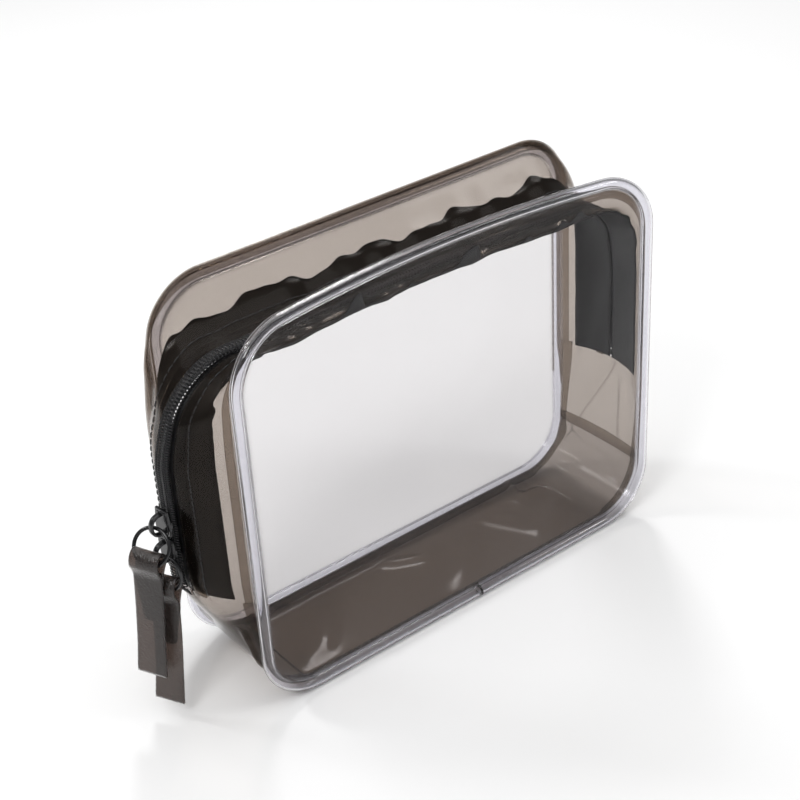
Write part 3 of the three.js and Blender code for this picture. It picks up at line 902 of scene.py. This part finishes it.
def slider_bridge(name, slider):
    """The strap of metal over a slider that its ring hangs from."""
    bottom = box_mm(slider)[0][2]
    t = np.linspace(0, np.pi, 25)
    z = SLIDER_LENGTH / 2 - BRIDGE_HALF * np.cos(t)
    x = OUTER_PLATE - BRIDGE_CROWN * np.sin(t) ** BRIDGE_SQUARENESS
    x[0] = x[-1] = OUTER_PLATE + BRIDGE_FOOT
    path = np.stack([x, 0 * x, z], -1)
    across, over = path_frames(path)
    rows = np.stack([path + a * across + b * over for a, b in BRIDGE_SECTION], 1)
    count = len(BRIDGE_SECTION)
    faces = grid_faces(len(path), count, closed_columns=True)
    faces.append(tuple(range(count - 1, -1, -1)))
    faces.append(tuple((len(path) - 1) * count + j for j in range(count)))
    return mesh_object(name + "_cast", on_zip(rows.reshape(-1, 3), bottom), faces, METAL)


JOINTS = {joint["name"]: joint for joint in frame["joints"]}
RING_RADIUS = 6.7
RING_WIRE = 0.7
STRAP_PLY = 0.8
STRAP_HALF = 5.4
STRAP_TILT = {"lower": math.radians(3), "upper": math.radians(5)}
STRAP_CURL = {"lower": 3.0, "upper": 0.8}
STRAP_WELD = 5.0
TONGUE = 24.0
FOLD_HALF = 3.0
FOLD_MIDDLE = 1.8
FOLD_HEIGHT = 4.2
FOLD_NECK = 6.0
STRAP_WAVE = 0.3
STRAP_FLARE = 0.35
STRAP_CUP = 0.25
TONGUE_TAPER = 0.42
TONGUE_ROUND = 3.0
TONGUE_TIP = 0.35


def joint_place(name):
    """Where a joint is, in millimetres, and the direction of its axis."""
    joint = JOINTS[name]
    return np.array(joint["pos_m"]) / MM, np.array(joint["axis"], float)


def ring(name):
    """The wire ring, in the plane of its hinge axis."""
    hang, across = joint_place(f"{name}_ring_swing")
    centre = sum(box_mm(f"{name}_ring")) / 2
    down = centre - hang
    down = down - across * (down @ across)
    down /= np.linalg.norm(down)
    t = np.linspace(0, 2 * np.pi, 64, endpoint=False)
    path = centre + RING_RADIUS * (np.sin(t)[:, None] * across - np.cos(t)[:, None] * down)
    return mesh_object(f"{name}_wire_ring", *tube(path, RING_WIRE, 16, closed=True), METAL)


def strap_profile(length, curl):
    """The strap from the side: up the long ply, over the ring and down the tongue behind it."""
    half_ply = STRAP_PLY / 2
    long_ply = []
    for t in np.linspace(0, 1, 40):
        bend = curl * (1 - t) ** 2.2 + STRAP_WAVE * math.sin(5.0 * t) * (1 - t)
        long_ply.append((half_ply + bend, -length + (length - STRAP_WELD) * t))
    shoulder = []
    for t in np.linspace(0.2, 0.9, 6):
        shoulder.append((half_ply + (FOLD_HALF - half_ply) * t ** 1.4, -STRAP_WELD + FOLD_NECK * t))
    arc = []
    for a in np.linspace(-0.1, math.pi + 0.1, 26):
        arc.append((FOLD_HALF * math.cos(a), FOLD_MIDDLE + FOLD_HEIGHT * math.sin(a)))
    back_shoulder = [(-x, z) for x, z in reversed(shoulder)]
    tongue = [(-half_ply, -STRAP_WELD - (TONGUE - STRAP_WELD) * t) for t in np.linspace(0, 1, 24)]
    return np.array(long_ply + shoulder + arc + back_shoulder + tongue)


def strap(name):
    """A strap folded through its ring: the long ply outside, a narrowing tongue behind it."""
    low_point, axis = joint_place(f"{name}_strap_swing")
    tilt = STRAP_TILT[name]
    outwards = np.array([-axis[1], axis[0], 0.0])
    across = axis * math.cos(tilt) + np.array([0.0, 0.0, math.sin(tilt)])
    up = np.array([0.0, 0.0, math.cos(tilt)]) - axis * math.sin(tilt)
    length = (low_point[2] - box_mm(f"{name}_strap")[0][2] - STRAP_HALF * math.sin(tilt)) / math.cos(tilt)
    profile = strap_profile(length, STRAP_CURL[name])
    step = np.gradient(profile, axis=0)
    step /= np.linalg.norm(step, axis=1)[:, None]
    side = np.stack([step[:, 1], -step[:, 0]], -1)
    along = np.concatenate([[0], np.cumsum(np.linalg.norm(np.diff(profile, axis=0), axis=1))])
    left = along[-1] - along
    flare = STRAP_FLARE * (1 - smooth(along, 0, 16))
    half_width = (STRAP_HALF + flare) * (1 - TONGUE_TAPER * (1 - smooth(left, TONGUE_ROUND, 19)))
    round_end = np.clip(left / TONGUE_ROUND, 0, 1)
    half_width *= TONGUE_TIP + (1 - TONGUE_TIP) * np.sqrt(1 - (1 - round_end) ** 2)
    columns = np.linspace(-1, 1, 15)
    cup = STRAP_CUP * columns[None] ** 2 * smooth(along, 2, 12)[:, None] * (left > TONGUE)[:, None]
    sideways = (half_width[:, None] * columns[None])[..., None] * across

    def face(offset):
        place = profile + side * offset
        out = (place[:, None, :1] - cup[..., None]) * outwards
        return low_point + out + place[:, None, 1:] * up + sideways

    sheet = sheet_solid(face(-STRAP_PLY / 2), face(STRAP_PLY / 2))
    return mesh_object(f"{name}_strap_film", *sheet, STRAP)


# ---- put the bag together ----
def on_root(obj, node, slot):
    """A piece that stays with the back wall and the floor."""
    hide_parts(node)
    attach(obj, "root")


def on_front(obj, node, slot):
    """A piece of the front wall: its part is hidden and its mesh keeps the place it was built in, without
    joining a body.
    """
    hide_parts(node)
    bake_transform(obj)


on_front(wall("front_wall_film", -HALF_SPACING), "front_panel", slot="clear_pvc")
on_root(wall("back_wall_film", HALF_SPACING), "back_panel", slot="clear_pvc")
on_front(front_bead(), "front_piping", slot="clear_pvc")
on_root(back_bead(), "back_piping", slot="clear_pvc")
on_root(bottom_gusset(), "bottom_gusset", slot="smoky_pvc")
for name, side, place in (("front", -1, on_front), ("back", 1, on_root)):
    place(zip_gusset(f"{name}_zip_film", side), f"{name}_zip_gusset", slot="smoky_pvc")
    place(zip_tape(f"{name}_tape_cloth", side), f"{name}_zip_tape", slot="zip_tape")
    place(coil(f"{name}_spiral", side), f"{name}_coil", slot="zip_coil")
    place(stitching(f"{name}_stitches", side), f"{name}_tape_stitching", slot="zip_tape")
on_root(weld_seam("left_weld", left_s(LEFT_SEAM)), "left_gusset_seam", slot="smoky_pvc")
on_root(weld_seam("right_weld", right_s(RIGHT_SEAM)), "right_gusset_seam", slot="smoky_pvc")
on_root(bar_tack("left_tack_thread", left_s(LEFT_ZIP_END), 1), "left_bar_tack", slot="zip_tape")
on_root(bar_tack("right_tack_thread", right_s(RIGHT_ZIP_END), -1), "right_bar_tack", slot="zip_tape")

for name, up in (("lower", 1), ("upper", -1)):
    slider = f"{name}_slider"
    rows = (
        (slider_body(f"{slider}_body", up), f"{slider}_body", slider, "black_metal"),
        (slider_bridge(f"{slider}_bridge", f"{slider}_body"), f"{slider}_bridge", slider, "black_metal"),
        (ring(name), f"{name}_ring", f"{name}_ring", "black_metal"),
        (strap(name), f"{name}_strap", f"{name}_strap", "strap_pvc"),
    )
    for piece, node, body, slot in rows:
        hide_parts(node)
        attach(piece, body)


# ---- studio ----
FLOOR_HALF = 3.0
FLOOR_Z = -0.0002
LIGHTS = (
    ("overhead", (0.0, 0.0, 1.5), 1.8, 13.8),
    ("key", (-0.75, -0.35, 0.9), 0.3, 3.0),
    ("fill", (0.8, -0.7, 0.7), 0.3, 2.0),
    ("back", (0.5, 0.7, 0.98), 0.22, 3.5),
    ("rim", (-0.62, 0.85, 0.78), 0.22, 3.0),
)
LIT_PLACE = Vector((0, 0, 0.07))


def studio():
    """A pale floor, a white world and soft lights: each light's place, width and power."""
    floor_mesh = bpy.data.meshes.new("floor")
    corners = [(x * FLOOR_HALF, y * FLOOR_HALF, FLOOR_Z) for x, y in ((-1, -1), (1, -1), (1, 1), (-1, 1))]
    floor_mesh.from_pydata(corners, [], [(0, 1, 2, 3)])
    floor = bpy.data.objects.new("floor", floor_mesh)
    bpy.context.scene.collection.objects.link(floor)
    pale = solid_material("pale_floor", (0.92, 0.92, 0.92), (0.93, 0.93, 0.93), 0.8, scale=5, bump=0.02)
    floor.data.materials.append(pale)
    world = bpy.data.worlds.new("studio")
    world.use_nodes = True
    background = world.node_tree.nodes["Background"]
    background.inputs["Color"].default_value = (1, 1, 1, 1)
    background.inputs["Strength"].default_value = 0.3
    bpy.context.scene.world = world
    for name, place, size, energy in LIGHTS:
        light = bpy.data.lights.new(name, "AREA")
        light.size = size
        light.energy = energy
        lamp = bpy.data.objects.new(name, light)
        lamp.location = place
        lamp.rotation_euler = (LIT_PLACE - Vector(place)).to_track_quat("-Z", "Y").to_euler()
        bpy.context.scene.collection.objects.link(lamp)


AZIMUTH = math.radians(-36.7)
ELEVATION = math.radians(31.6)
ROLL = math.radians(-3.6)
DISTANCE = 0.6116
TARGET = Vector((-0.0095, 0.0, 0.0839))
LENS = 74.9


def camera():
    """The camera looks at its target from an azimuth, an elevation and a distance, with a slight roll."""
    back = Vector((
        math.sin(AZIMUTH) * math.cos(ELEVATION),
        -math.cos(AZIMUTH) * math.cos(ELEVATION),
        math.sin(ELEVATION),
    ))
    right = (-back).cross(Vector((0, 0, 1))).normalized()
    up = right.cross(-back)
    tilted_right = math.cos(ROLL) * right + math.sin(ROLL) * up
    tilted_up = -math.sin(ROLL) * right + math.cos(ROLL) * up
    data = bpy.data.cameras.new("camera")
    data.sensor_width = 36
    data.lens = LENS
    data.clip_start = 0.01
    obj = bpy.data.objects.new("camera", data)
    turn = Matrix((tilted_right, tilted_up, back)).transposed()
    obj.matrix_world = Matrix.Translation(TARGET + back * DISTANCE) @ turn.to_4x4()
    bpy.context.scene.collection.objects.link(obj)
    bpy.context.scene.camera = obj


studio()
camera()
bpy.context.scene.view_settings.view_transform = "Standard"
bpy.context.scene.cycles.transparent_max_bounces = 40
